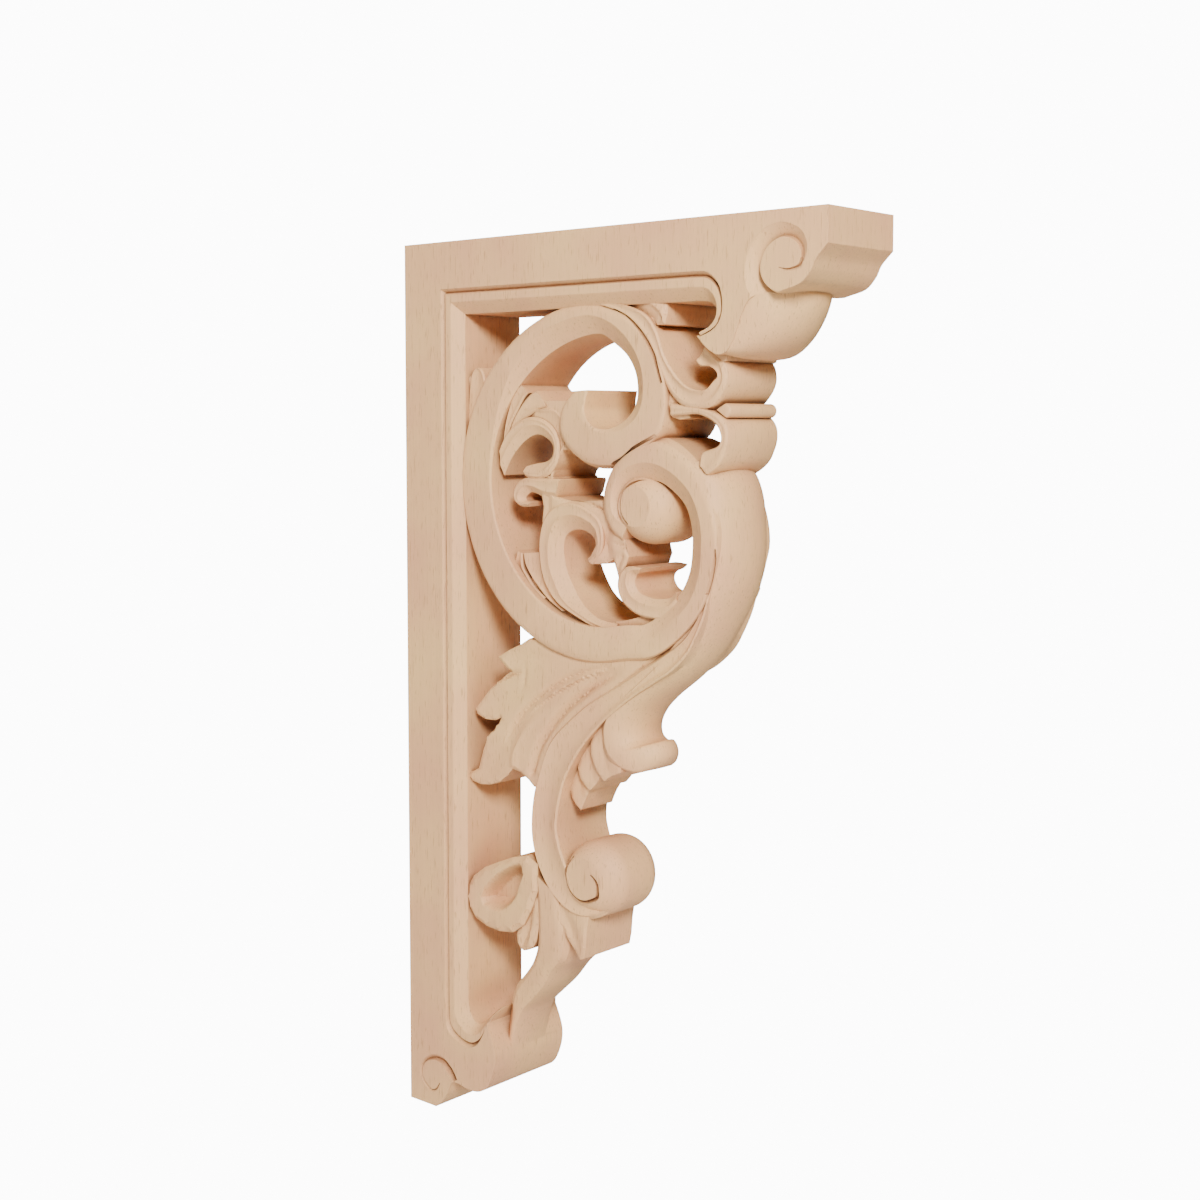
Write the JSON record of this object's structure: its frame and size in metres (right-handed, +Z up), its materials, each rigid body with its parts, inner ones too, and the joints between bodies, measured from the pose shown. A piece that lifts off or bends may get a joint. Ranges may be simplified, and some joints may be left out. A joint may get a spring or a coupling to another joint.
{
  "type": "carved corbel bracket",
  "caption": "Carved beech corbel bracket: an L-shaped frame holding pierced scrolls and acanthus leaves, fixed to a wall to carry a shelf, mantel or worktop overhang.",
  "frame": {"origin": "middle of the flat back face that is fixed to the wall, half way up and half way through the thickness", "axes": "+X out of the wall along the projection, +Z up the wall, Y through the thickness; the carving is mirrored about the plane Y = 0"},
  "size_m": [0.228, 0.045, 0.394],
  "materials": {
    "beech": "raw, unfinished carved beech, pale pink-beige, sanded smooth with fine short flecks"
  },
  "bodies": {
    "root": {"corbel_bracket": "beech"}
  },
  "joints": []
}
